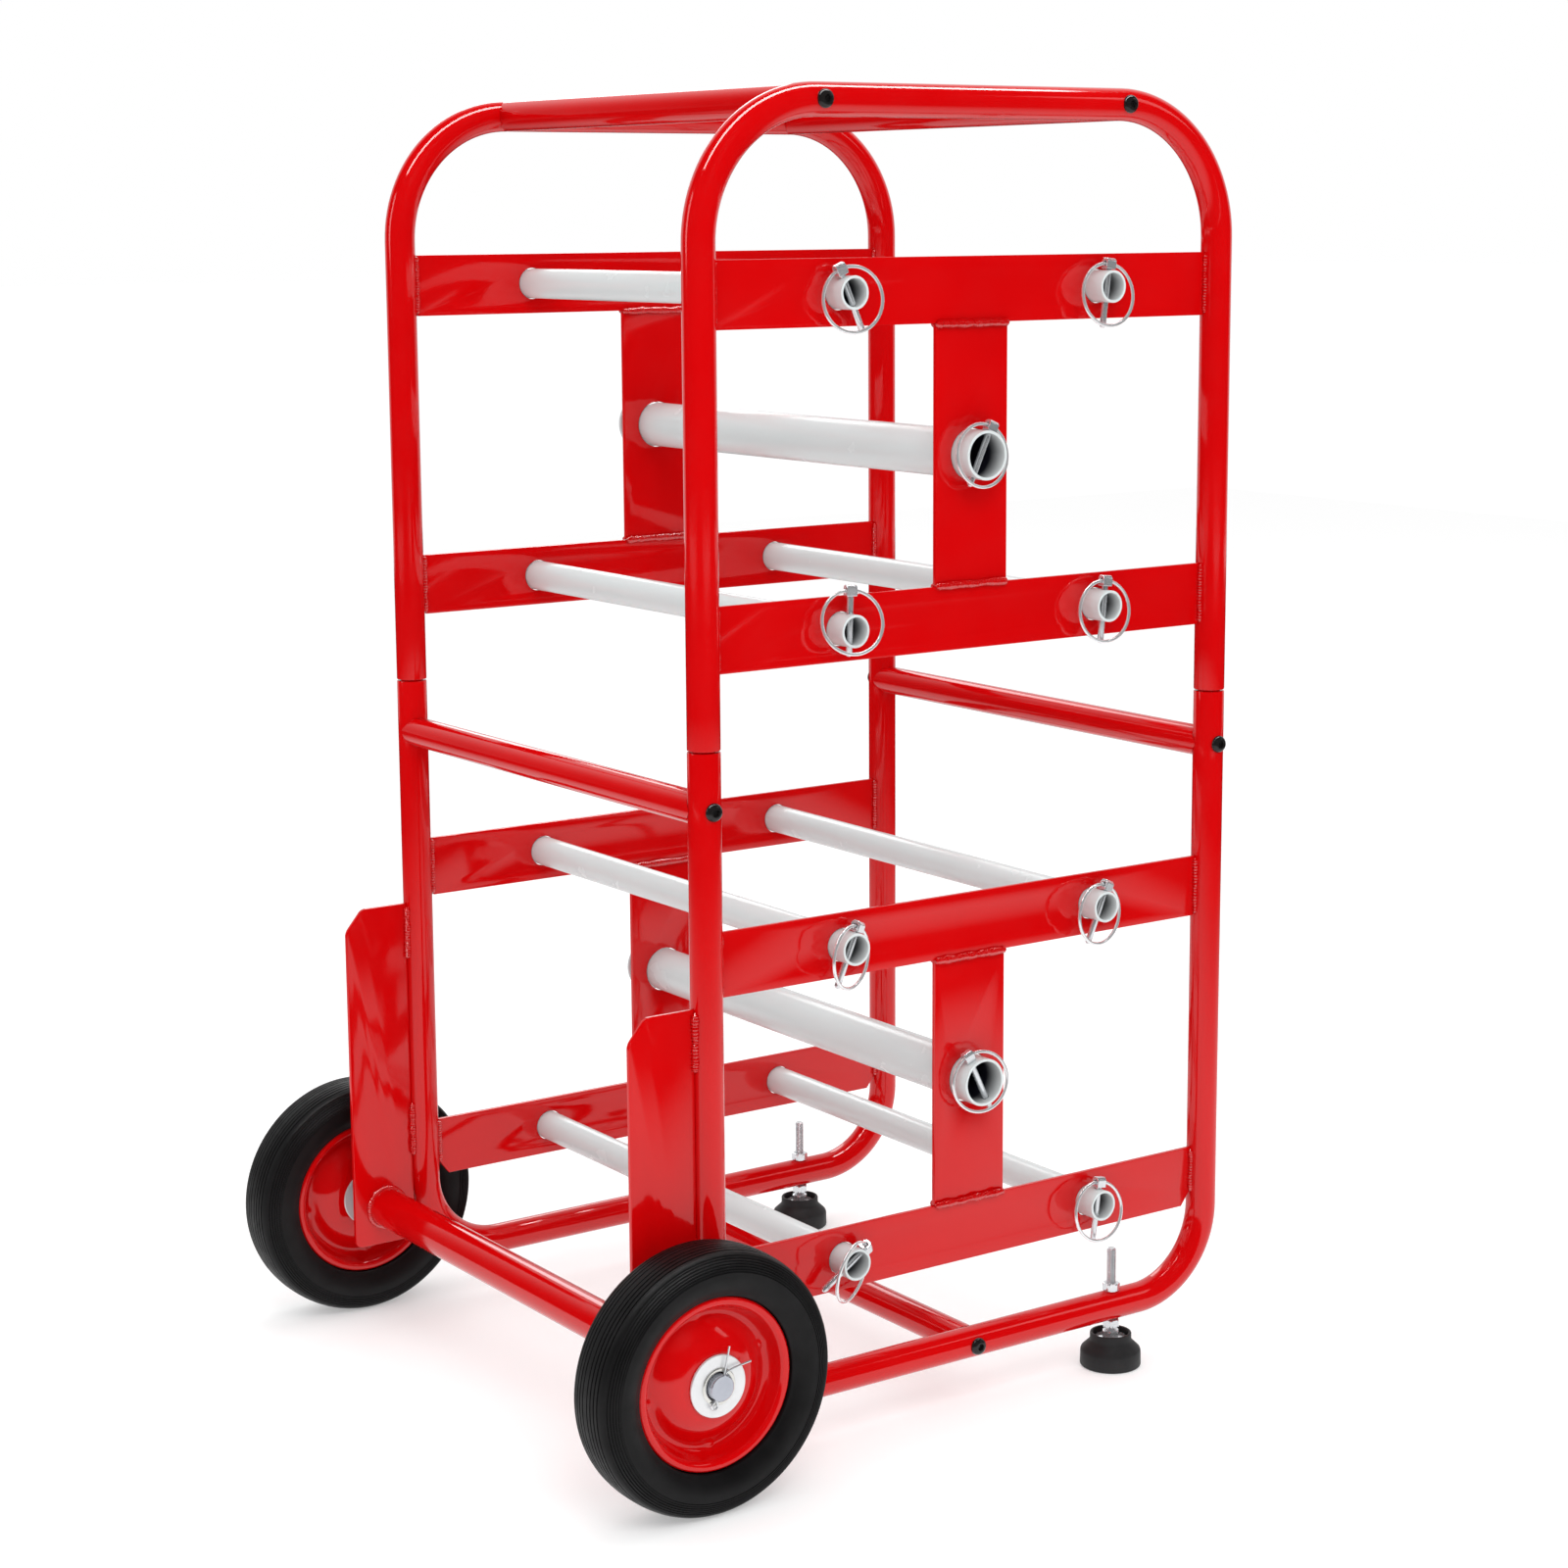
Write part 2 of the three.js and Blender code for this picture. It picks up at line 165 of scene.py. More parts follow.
RED = gloss_paint("red_enamel", (0.54, 0.0008, 0.0016), (0.585, 0.0012, 0.002), 0.055, 0.10,
                  Specular_IOR_Level=0.5)
WELD = gloss_paint("red_enamel_on_weld", (0.50, 0.0008, 0.0016), (0.57, 0.0012, 0.002), 0.05, 0.10,
                   0.2, Specular_IOR_Level=0.9, Coat_Weight=0.9, Coat_Roughness=0.03)
WHITE = gloss_paint("white_enamel", (0.613, 0.665, 0.668), (0.633, 0.68, 0.683), 0.2, 0.28, 0.06,
                    Specular_IOR_Level=0.5)


def metal(name, low, high, rough_low, rough_high, grain, metallic):
    """Plated or drawn metal: slight colour and gloss drift and a fine grain."""
    m, tree, b = shader(name, high, rough_low, metallic)
    ramp_to(tree, noise_tex(tree, 90.0, 5, 0.6), b.inputs["Base Color"], low, high)
    ramp_to(tree, noise_tex(tree, 260.0, 4), b.inputs["Roughness"], rough_low, rough_high)
    bump(tree, b, [(noise_tex(tree, 1500.0, 3, 0.6), grain, 0.00005)])
    return m


ZINC = metal("zinc_plate", (0.72, 0.74, 0.77), (0.84, 0.86, 0.88), 0.14, 0.24, 0.06, 0.76)
WIRE = metal("bright_wire", (0.88, 0.89, 0.91), (0.95, 0.96, 0.97), 0.06, 0.12, 0.04, 0.72)
WASHER = metal("washer_zinc", (0.79, 0.80, 0.81), (0.83, 0.84, 0.85), 0.28, 0.36, 0.04, 0.5)
AXLE_STEEL = metal("axle_steel", (0.46, 0.48, 0.54), (0.52, 0.54, 0.60), 0.12, 0.2, 0.04, 0.74)
BUSH = metal("bush_zinc", (0.76, 0.75, 0.71), (0.84, 0.83, 0.79), 0.14, 0.24, 0.04, 0.85)
BLACK_STEEL, _tree, _b = shader("black_oxide", (0.016, 0.014, 0.014), 0.15, 0.3)
ramp_to(_tree, noise_tex(_tree, 300.0, 3), _b.inputs["Roughness"], 0.1, 0.2)
bump(_tree, _b, [(noise_tex(_tree, 900.0, 2), 0.15, 0.00006)])


def tube_inside_painted_shade(name):
    """Enamel inside a spindle, with painted shade: white at its mouths, darkening to near black
    within the first 20 mm.
    """
    m, tree, b = shader(name, (0.6, 0.63, 0.63), 0.35)
    coord = tree.nodes.new("ShaderNodeTexCoord")
    split = tree.nodes.new("ShaderNodeSeparateXYZ")
    size = tree.nodes.new("ShaderNodeMath")
    size.operation = "ABSOLUTE"
    blend = tree.nodes.new("ShaderNodeMapRange")
    blend.inputs["From Min"].default_value = SPINDLE_END - 19 * MM
    blend.inputs["From Max"].default_value = SPINDLE_END - 1 * MM
    ramp = tree.nodes.new("ShaderNodeValToRGB")
    # painted shade: near black deep in the bore, white at the mouth
    ramp.color_ramp.elements[0].color = (0.014, 0.014, 0.024, 1)
    ramp.color_ramp.elements[1].color = (0.66, 0.68, 0.68, 1)
    tree.links.new(coord.outputs["Object"], split.inputs["Vector"])
    tree.links.new(split.outputs["X"], size.inputs[0])
    tree.links.new(size.outputs["Value"], blend.inputs["Value"])
    tree.links.new(blend.outputs["Result"], ramp.inputs["Fac"])
    tree.links.new(ramp.outputs["Color"], b.inputs["Base Color"])
    bump(tree, b, [(noise_tex(tree, 500.0, 2), 0.1, 0.0001)])
    return m


# inside of the spindles, with the shade deep in the bore painted on
BORE = tube_inside_painted_shade("white_enamel_inside_painted_shade")


def rubber(name, low, high, rough_low, rough_high):
    """Moulded rubber: faint blotches of bloom and a fine skin."""
    m, tree, b = shader(name, high, rough_low, Specular_IOR_Level=0.2)
    ramp_to(tree, noise_tex(tree, 30.0, 6, 0.65), b.inputs["Base Color"], low, high)
    ramp_to(tree, noise_tex(tree, 80.0, 5), b.inputs["Roughness"], rough_low, rough_high)
    bump(tree, b, [(noise_tex(tree, 1400.0, 3), 0.35, 0.00008),
                   (noise_tex(tree, 140.0, 4), 0.25, 0.0002)])
    return m


TYRE = rubber("tyre_rubber", (0.0035, 0.0033, 0.0036), (0.007, 0.0065, 0.007), 0.4, 0.54)
PAD = rubber("foot_rubber", (0.016, 0.016, 0.017), (0.026, 0.025, 0.026), 0.45, 0.6)


# ---- mesh building -------------------------------------------------------------------------
class Solid:
    """Collects shells of vertices and faces, then makes one object of them."""

    def __init__(self):
        self.verts, self.faces = [], []

    def shell(self, rings, wrap=False):
        """Quads between rings of equal length; ends are capped unless the rings wrap round."""
        start, n = len(self.verts), len(rings[0])
        for ring in rings:
            self.verts += [tuple(p) for p in ring]
        count = len(rings)
        for i in range(count if wrap else count - 1):
            a, b = start + i * n, start + ((i + 1) % count) * n
            for k in range(n):
                q = (k + 1) % n
                self.faces.append((a + k, a + q, b + q, b + k))
        if not wrap:
            self.faces.append(tuple(start + k for k in reversed(range(n))))
            self.faces.append(tuple(start + (count - 1) * n + k for k in range(n)))
        return self

    def move(self, matrix):
        self.verts = [tuple(matrix @ Vector(v)) for v in self.verts]
        return self

    def piece(self, name, material, body, slot, nodes=(), sharp=32):
        """The object, riding on a CAD body."""
        me = bpy.data.meshes.new(name)
        me.from_pydata(self.verts, [], self.faces)
        bm = bmesh.new()
        bm.from_mesh(me)
        bmesh.ops.remove_doubles(bm, verts=bm.verts, dist=1e-7)
        bmesh.ops.recalc_face_normals(bm, faces=bm.faces)
        bm.to_mesh(me)
        bm.free()
        return finish_piece(name, me, material, body, nodes, sharp)


def finish_piece(name, me, material, body, nodes=(), sharp=32):
    """Shades a mesh, and makes a piece of it. One that shares a CAD node's name adds _look."""
    me.shade_smooth()
    me.set_sharp_from_angle(angle=math.radians(sharp))
    me.materials.append(material)
    obj = bpy.data.objects.new(f"{name}_look" if name in frame["nodes"] else name, me)
    bpy.context.scene.collection.objects.link(obj)
    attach(obj, body)
    if nodes:
        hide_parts(*nodes)
    return obj


def circle(centre, u, v, radius, n):
    return [centre + radius * (math.cos(TAU * k / n) * u + math.sin(TAU * k / n) * v)
            for k in range(n)]


AXES = {"x": (Vector((0, 1, 0)), Vector((0, 0, 1)), Vector((1, 0, 0))),
        "y": (Vector((0, 0, 1)), Vector((1, 0, 0)), Vector((0, 1, 0))),
        "z": (Vector((1, 0, 0)), Vector((0, 1, 0)), Vector((0, 0, 1)))}


def lathe(profile, axis="z", centre=(0, 0, 0), n=64, wrap=True, shape=None):
    """Turns (radius, height) points about an axis; shape(radius, height, angle) may bend them."""
    u, v, w = AXES[axis]
    rings = []
    for r, h in profile:
        ring = []
        for k in range(n):
            a = TAU * k / n
            rr, hh = shape(r, h, a) if shape else (r, h)
            ring.append(Vector(centre) + rr * (math.cos(a) * u + math.sin(a) * v) + hh * w)
        rings.append(ring)
    return Solid().shell(rings, wrap=wrap)


def tangent_frames(points):
    """Directions along a path, with side vectors that don't twist."""
    n = len(points)
    tangents = [(points[min(i + 1, n - 1)] - points[max(i - 1, 0)]).normalized() for i in range(n)]
    side = tangents[0].orthogonal().normalized()
    frames = []
    for t in tangents:
        side = (side - t * side.dot(t)).normalized()
        frames.append((t, side, t.cross(side)))
    return frames


def swept(points, radius, n=12):
    """A round bar along a path. radius is a number or a function of the point's index."""
    rings = []
    for i, (p, (_, u, v)) in enumerate(zip(points, tangent_frames(points))):
        r = radius(i) if callable(radius) else radius
        rings.append(circle(p, u, v, r, n))
    return Solid().shell(rings)


def resample(points, step):
    """The same polyline with points about step apart."""
    out = []
    for a, b in zip(points, points[1:]):
        n = max(1, round((b - a).length / step))
        out += [a.lerp(b, i / n) for i in range(n)]
    return out + [points[-1]]


def bead(name, points, radius, seed):
    """A painted weld bead: overlapping ripples of uneven width with rounded ends."""
    rng = random.Random(seed)
    spacing = 0.45 * MM
    path = resample([Vector(p) for p in points], spacing)
    step, phase = (2.0 + rng.random() * 0.6) * MM, rng.random() * TAU
    n = len(path)
    wobble = [noise.noise(Vector((seed * 3.7, i * 0.06, 0))) for i in range(n)]

    def width(i):
        end = min(i, n - 1 - i) * spacing
        taper = math.sqrt(max(0.02, 1 - max(0.0, 1 - end / (1.3 * radius)) ** 2))
        ripple = 0.82 + 0.26 * abs(math.sin(i * spacing / step * math.pi + phase))
        return radius * taper * (ripple + 0.3 * wobble[i])

    wander, lump, lump_size = 0.5 * MM, 0.4 * MM, 2.2 * MM
    for i, p in enumerate(path):
        path[i] = p + wander * noise.noise_vector(Vector((seed * 1.3, i * 0.04, 5)))
    solid = swept(path, width, 14)
    solid.verts = [tuple(Vector(v) + lump * noise.noise_vector(Vector(v) / lump_size))
                   for v in solid.verts]
    return solid.piece(name, WELD, "frame", "red_paint", sharp=80)


def boolean_cut(obj, cutter):
    """Takes the cutter's shape out of the object for good, and removes the cutter."""
    mod = obj.modifiers.new("cut", "BOOLEAN")
    mod.object, mod.operation, mod.solver = cutter, "DIFFERENCE", "EXACT"
    bpy.context.view_layer.update()
    done = bpy.data.meshes.new_from_object(
        obj.evaluated_get(bpy.context.evaluated_depsgraph_get()))
    obj.modifiers.clear()
    obj.data = done
    done.set_sharp_from_angle(angle=math.radians(32))
    bpy.data.objects.remove(cutter)


def loose(solid, name):
    """A cutter object that belongs to nothing."""
    me = bpy.data.meshes.new(name)
    me.from_pydata(solid.verts, [], solid.faces)
    bm = bmesh.new()
    bm.from_mesh(me)
    bmesh.ops.recalc_face_normals(bm, faces=bm.faces)
    bm.to_mesh(me)
    bm.free()
    obj = bpy.data.objects.new(name, me)
    bpy.context.scene.collection.objects.link(obj)
    return obj


# ---- side hoops ----------------------------------------------------------------------------
def hoop_stations(x, leg_z, run_z, bend):
    """Centreline points and tangents of one U, from the -Y leg's end to the +Y leg's end."""
    up = 1 if run_z > leg_z else -1
    corner = run_z - up * bend
    out = []

    def straight(y, z0, z1, t):
        out.extend((Vector((x, FRAME_Y + y, z0 + (z1 - z0) * i / 6)), Vector(t)) for i in range(6))

    straight(-POST_Y, leg_z, corner, (0, 0, up))
    steps = 28
    for i in range(steps + 1):
        a = math.pi / 2 * i / steps
        out.append((Vector((x, FRAME_Y - POST_Y + bend - bend * math.cos(a),
                            corner + up * bend * math.sin(a))),
                    Vector((0, math.sin(a), up * math.cos(a)))))
    for i in range(steps + 1):
        a = math.pi / 2 * (1 - i / steps)
        out.append((Vector((x, FRAME_Y + POST_Y - bend + bend * math.cos(a),
                            corner + up * bend * math.sin(a))),
                    Vector((0, math.sin(a), -up * math.cos(a)))))
    for i in range(1, 7):
        out.append((Vector((x, FRAME_Y + POST_Y, corner + (leg_z - corner) * i / 6)),
                    Vector((0, 0, -up))))
    return out


def hoop(name, x, leg_z, run_z, bend, spigot):
    n = 48
    wide = Vector((1, 0, 0))
    rings = [circle(p, wide, t.cross(wide), TUBE_R, n)
             for p, t in hoop_stations(x, leg_z, run_z, bend)]
    out = 1 if leg_z < run_z else -1      # from the leg's end into the tube

    def leg_end(y):
        def at(r, dz):
            return circle(Vector((x, FRAME_Y + y, leg_z + out * dz * MM)), wide,
                          Vector((0, 1, 0)), r * MM, n)
        if spigot:
            return [at(9.7, -28), at(9.7, 0.2), at(11.9, 0.1), at(12.3, 0.3), at(12.5, 0.9)]
        return [at(10.5, 30), at(10.5, 0.3), at(10.8, 0.0), at(12.0, 0.0), at(12.4, 0.2),
                at(12.5, 0.7)]

    # the two ends' rings have to turn the same way as the swept ones
    def aligned(ring, like):
        best = min(range(n), key=lambda s: (Vector(ring[s]) - Vector(like[0])).length)
        forward = ring[best:] + ring[:best]
        backward = [forward[0]] + forward[:0:-1]
        if (Vector(forward[1]) - Vector(like[1])).length < (
                Vector(backward[1]) - Vector(like[1])).length:
            return forward
        return backward

    first = [aligned(r, rings[0]) for r in leg_end(-POST_Y)]
    last = [aligned(r, rings[-1]) for r in leg_end(POST_Y)]
    solid = Solid().shell(first + rings[1:-1] + last[::-1])
    return solid.piece(name, RED, "frame", "red_paint", [name], sharp=30)


# ---- flat bars -----------------------------------------------------------------------------
def arc_points(cy, cz, r, n=56):
    return [(cy + r * math.cos(TAU * k / n), cz + r * math.sin(TAU * k / n)) for k in range(n)]


def rounded(points, radius, steps=6):
    """An outline with every corner rounded; radius may be one number or one per corner."""
    out, n = [], len(points)
    for i, p in enumerate(points):
        r = radius[i] if isinstance(radius, (list, tuple)) else radius
        a, b, c = Vector(points[i - 1]), Vector(p), Vector(points[(i + 1) % n])
        if r <= 0:
            out.append(tuple(b))
            continue
        start, end = b + (a - b).normalized() * r, b + (c - b).normalized() * r
        for k in range(steps + 1):
            t = k / steps
            q = start.lerp(b, t).lerp(b.lerp(end, t), t)
            out.append((q.x, q.y))
    return out


def flat_bar(name, loops, x_mid, thick, nodes=(), edge=0.55 * MM):
    """A pierced plate in a plane of constant x, with eased edges, from (y, z) loops."""
    cu = bpy.data.curves.new(name, "CURVE")
    cu.dimensions, cu.fill_mode = "2D", "BOTH"
    for loop in loops:
        sp = cu.splines.new("POLY")
        sp.points.add(len(loop) - 1)
        for pt, (y, z) in zip(sp.points, loop):
            pt.co = (y, z, 0, 1)
        sp.use_cyclic_u = True
    cu.extrude = thick / 2 - edge
    cu.bevel_depth, cu.bevel_resolution = edge, 2
    cu.offset = -edge
    tmp = bpy.data.objects.new(name, cu)
    bpy.context.scene.collection.objects.link(tmp)
    bpy.context.view_layer.update()
    me = bpy.data.meshes.new_from_object(
        tmp.evaluated_get(bpy.context.evaluated_depsgraph_get()))
    bpy.data.objects.remove(tmp)
    me.transform(Matrix(((0, 0, 1, x_mid), (1, 0, 0, 0), (0, 1, 0, 0), (0, 0, 0, 1))))
    bm = bmesh.new()
    bm.from_mesh(me)
    bmesh.ops.remove_doubles(bm, verts=bm.verts, dist=2e-6)
    bmesh.ops.recalc_face_normals(bm, faces=bm.faces)
    bm.to_mesh(me)
    bm.free()
    me.materials.clear()
    return finish_piece(name, me, RED, "frame", nodes, sharp=28)


def rail_frame(side, s, level, top, bottom, chamfer):
    """Two rails and the upright bar between them, with their weld beads."""
    node = f"rail_frame_{level}_{side}"
    x = s * SIDE_X - RAIL_T / 2 if s > 0 else s * SIDE_X + RAIL_T / 2
    faces = (x - RAIL_T / 2, x + RAIL_T / 2)
    h, w = RAIL_H / 2, PLATE_W / 2
    for label, z in (("top", top), ("bottom", bottom)):
        c = chamfer if label == "bottom" else 1.5 * MM
        outline = [(-RAIL_END, z + h), (-RAIL_END, z - h + 1.3 * c), (-RAIL_END + c, z - h),
                   (RAIL_END - c, z - h), (RAIL_END, z - h + 1.3 * c), (RAIL_END, z + h)]
        loops = [[(FRAME_Y + a, b) for a, b in outline]]
        loops += [arc_points(FRAME_Y + y, z, SMALL["hole"]) for y in (-SPINDLE_Y, SPINDLE_Y)]
        flat_bar(f"{node}_{label}_rail", loops, x, RAIL_T, [node] if label == "top" else ())
        for e, end in ((-1, "rear"), (1, "front")):
            for k, fx in enumerate(faces):
                y = FRAME_Y + e * (RAIL_END + 0.2 * MM)
                z0 = z - h + (1.3 * c if label == "bottom" else 2 * MM)
                out = (fx - x) * 0.45
                bead(f"{node}_{label}_{end}_bead_{k}",
                     [(fx + out, y, z0), (fx + out, y, z + h - 1 * MM)],
                     2.1 * MM, hash_seed(node, label, end, k))
    lo, hi = bottom + h + 0.3 * MM, top - h - 0.3 * MM
    upright = [(FRAME_Y - w, lo), (FRAME_Y + w, lo), (FRAME_Y + w, hi), (FRAME_Y - w, hi)]
    mid = (top + bottom) / 2
    flat_bar(f"{node}_upright", [upright, arc_points(FRAME_Y, mid, BIG["hole"], 72)], x, RAIL_T)
    for label, z in (("low", lo), ("high", hi)):
        for k, fx in enumerate(faces):
            out = (fx - x) * 0.55
            bead(f"{node}_upright_{label}_bead_{k}",
                 [(fx + out, FRAME_Y - w - 0.5 * MM, z), (fx + out, FRAME_Y + w + 0.5 * MM, z)],
                 3.0 * MM, hash_seed(node, "up", label, k))


def hash_seed(*parts):
    """A steady whole number from some words."""
    total = 7
    for ch in "|".join(map(str, parts)):
        total = (total * 31 + ord(ch)) % 99991
    return total


# ---- cross tubes ----------------------------------------------------------------------------
def cross_tube(name, y, z, saddle):
    """A tube between the side frames, its ends coped to sit on the round side tubes."""
    n = 48
    centre_y = FRAME_Y + y
    rings = []

    def ring(radius, s, depth):
        out = []
        for k in range(n):
            a = TAU * k / n
            dy, dz = radius * math.cos(a), radius * math.sin(a)
            across = dy if saddle == "z" else dz
            reach = math.sqrt(max(0.0, (TUBE_R + 0.15 * MM) ** 2 - min(abs(across), TUBE_R) ** 2))
            out.append(Vector((s * (SIDE_X - reach - depth), centre_y + dy, z + dz)))
        return out

    rings += [ring(BORE_R, -1, 0.0), ring(TUBE_R - 0.3 * MM, -1, 0.0), ring(TUBE_R, -1, 0.4 * MM)]
    rings += [[Vector((x * MM, p.y, p.z)) for p in ring(TUBE_R, 1, 0)]
              for x in range(-180, 181, 60)]
    rings += [ring(TUBE_R, 1, 0.4 * MM), ring(TUBE_R - 0.3 * MM, 1, 0.0), ring(BORE_R, 1, 0.0)]
    solid = Solid().shell(rings + [ring(BORE_R, 1, 12 * MM), ring(BORE_R, -1, 12 * MM)], wrap=True)
    return solid.piece(name, RED, "frame", "red_paint", [name], sharp=40)


def hex_radius(apothem, a):
    return apothem / math.cos((a + math.pi / 6) % (math.pi / 3) - math.pi / 6)


def button_screw(name, s, y, z):
    """Button-head socket screw driven in along X from outside the side frame."""
    spin = 0.35
    profile = [(2.5, 1.6), (2.5, 3.7), (2.9, 4.2), (3.6, 4.25), (4.7, 3.95), (5.8, 3.2), (6.6, 2.1),
               (6.95, 1.0), (6.95, 0.2), (6.7, 0.0)]

    def shape(r, h, a):
        hexed = h in (1.6, 3.7) and r == 2.5
        return ((hex_radius(r, a + spin) if hexed else r) * MM, s * h * MM)

    x = s * (SIDE_X + TUBE_R - 0.5 * MM)
    solid = lathe(profile, "x", (x, FRAME_Y + y, z), 48, wrap=False, shape=shape)
    return solid.piece(name, BLACK_STEEL, "frame", None, sharp=38)


# ---- build the frame -------------------------------------------------------------------------
SIDES = (("left", -1), ("right", 1))
for side, s in SIDES:
    hoop(f"upper_hoop_{side}", s * SIDE_X, SPLIT_Z + SPLIT_GAP, TOP_Z, TOP_BEND, False)
    hoop(f"lower_hoop_{side}", s * SIDE_X, SPLIT_Z, BASE_Z, LOW_BEND, True)
    rail_frame(side, s, "upper", RAIL_Z[0], RAIL_Z[1], 1.5 * MM)
    rail_frame(side, s, "lower", RAIL_Z[2], RAIL_Z[3], 9 * MM)
    for end, e in (("rear", -1), ("front", 1)):
        button_screw(f"screw_top_{end}_{side}", s, e * (POST_Y - TOP_BEND), TOP_Z)
        button_screw(f"screw_mid_{end}_{side}", s, e * POST_Y, MID_Z)
    button_screw(f"screw_bottom_{side}", s, 0, BASE_Z)

for end, e in (("rear", -1), ("front", 1)):
    cross_tube(f"cross_tube_top_{end}", e * (POST_Y - TOP_BEND), TOP_Z, "y")
    cross_tube(f"cross_tube_mid_{end}", e * POST_Y, MID_Z, "z")
cross_tube("cross_tube_bottom", 0, BASE_Z, "y")

# ---- wheel carrier ---------------------------------------------------------------------------
for side, s in SIDES:
    edge_y = -POST_Y - TUBE_R - 0.1 * MM
    outline = [(edge_y, 315), (-0.302, 315), (-0.3175, 296.5), (-0.3175, 18), (edge_y, 18)]
    outline = [(y, BASE_Z + z * MM) for y, z in outline]
    loop = rounded(outline, [0, 4 * MM, 4 * MM, 7 * MM, 0])
    loops = [[(FRAME_Y + y, z) for y, z in loop], arc_points(AXLE_Y, AXLE_Z, AXLE_R + 0.6 * MM)]
    flat_bar(f"wheel_plate_{side}", loops, s * SIDE_X, 4 * MM, [f"wheel_plate_{side}"])
    for k, dx in enumerate((-1, 1)):
        x = s * SIDE_X + dx * 3.0 * MM
        for j, (z0, z1) in enumerate(((267, 313), (92, 139))):
            bead(f"wheel_plate_{side}_bead_{k}_{j}",
                 [(x, FRAME_Y + edge_y + 0.2 * MM, BASE_Z + z0 * MM),
                  (x, FRAME_Y + edge_y + 0.2 * MM, BASE_Z + z1 * MM)],
                 3.0 * MM, hash_seed("plate", side, k, j))
    x = s * (SIDE_X - 3.0 * MM)
    ring = [(x, AXLE_Y + 17.0 * MM * math.cos(a), AXLE_Z + 17.0 * MM * math.sin(a))
            for a in (TAU * k / 40 for k in range(41))]
    bead(f"axle_tube_bead_{side}", ring, 2.2 * MM, hash_seed("axle", side))

half = SIDE_X - 2.1 * MM
lathe([(16.5 * MM, -half), (16.5 * MM, half), (11 * MM, half), (11 * MM, -half)], "x",
      (0, AXLE_Y, AXLE_Z), 64).piece("axle_tube", RED, "frame", "red_paint", ["axle_tube"])

COTTER_X = AXLE_END - 3.4 * MM
COTTER_TILT = math.radians(-22)
sleeve = (SIDE_X + 2.4 * MM, WHEEL_X - HUB - 2.2 * MM)
half_axle = [(10, sleeve[0]), (13.4, sleeve[0]), (14, sleeve[0] + 0.6 * MM),
             (14, sleeve[1] - 0.6 * MM), (13.4, sleeve[1]), (10, sleeve[1]),
             (10, AXLE_END - 0.9 * MM), (9.8, AXLE_END - 0.35 * MM), (9.3, AXLE_END),
             (0.4, AXLE_END)]
profile = [(r * MM, -x) for r, x in reversed(half_axle)] + [(r * MM, x) for r, x in half_axle]
axle = lathe(profile, "x", (0, AXLE_Y, AXLE_Z), 64, wrap=False).piece(
    "axle", AXLE_STEEL, "frame", "zinc_plate", ["axle"], sharp=28)
for side, s in SIDES:
    hole = lathe([(1.9 * MM, -20 * MM), (1.9 * MM, 20 * MM)], "z", n=20, wrap=False)
    hole.move(Matrix.Translation((s * COTTER_X, AXLE_Y, AXLE_Z))
              @ Matrix.Rotation(COTTER_TILT, 4, "X"))
    boolean_cut(axle, loose(hole, "cutter"))


def cotter(side, s):
    """One wire doubled back through the axle: an eye below, two spread legs above."""
    def leg(side_y, length, spread, t):
        base = Vector((0, side_y, 11))
        tip = base + length * Vector((0, math.sin(spread), math.cos(spread)))
        knee = base + Vector((0, 0, 2.5))
        return tip.lerp(knee, t).lerp(knee.lerp(base, t), t)

    path = [leg(-0.75, 20.0, -0.15, i / 10) for i in range(11)]
    path += [Vector((0, -0.75, z)) for z in (6, 0, -6, -10.5)]
    for i in range(1, 16):                                 # eye
        a = math.pi * 0.62 + (TAU - 1.24) * i / 16 + 0.2
        path.append(Vector((0, 2.7 * math.cos(a), -14.3 + 2.7 * math.sin(a))))
    path += [Vector((0, 0.75, z)) for z in (-10.5, -6, 0, 6)]
    path += [leg(0.75, 22.6, 0.98, 1 - i / 10) for i in range(11)]
    place = (Matrix.Translation((s * COTTER_X, AXLE_Y, AXLE_Z))
             @ Matrix.Rotation(COTTER_TILT, 4, "X") @ Matrix.Scale(MM, 4))
    solid = swept(resample(path, 0.7), 0.82, 10).move(place)
    solid.piece(f"cotter_{side}", ZINC, "frame", "zinc_plate", [f"cotter_{side}"], sharp=60)


for side, s in SIDES:
    cotter(side, s)
    x0 = s * (WHEEL_X + HUB + 0.4 * MM)
    ring = [(10.8, 0.25), (11.1, 0.0), (23.5, 0.0), (23.9, 0.4), (23.9, 1.7), (23.4, 2.2),
            (11.1, 2.2), (10.8, 1.95)]
    lathe([(r * MM, s * h * MM) for r, h in ring], "x", (x0, AXLE_Y, AXLE_Z), 72).piece(
        f"axle_washer_{side}", WASHER, "frame", "zinc_plate", [f"axle_washer_{side}"], sharp=28)
    bush = [(11.2, 2.2), (14.0, 2.2), (14.3, 2.5), (14.2, 3.0), (13.7, 3.4), (12.6, 3.6),
            (11.6, 3.4), (11.2, 2.9)]
    lathe([(r * MM, s * h * MM) for r, h in bush], "x", (x0, AXLE_Y, AXLE_Z), 64).piece(
        f"hub_bush_{side}", BUSH, "frame", "zinc_plate", sharp=28)
    inner = [(10.1, 0.0), (23.5, 0.0), (23.9, 0.4), (23.9, 1.4), (23.5, 1.8), (15.2, 1.8),
             (14.8, 1.5), (10.1, 1.5)]
    lathe([(r * MM, -s * h * MM) for r, h in inner], "x",
          (s * (WHEEL_X - HUB - 0.3 * MM), AXLE_Y, AXLE_Z), 64).piece(
        f"inner_washer_{side}", WASHER, "frame", "zinc_plate", sharp=28)


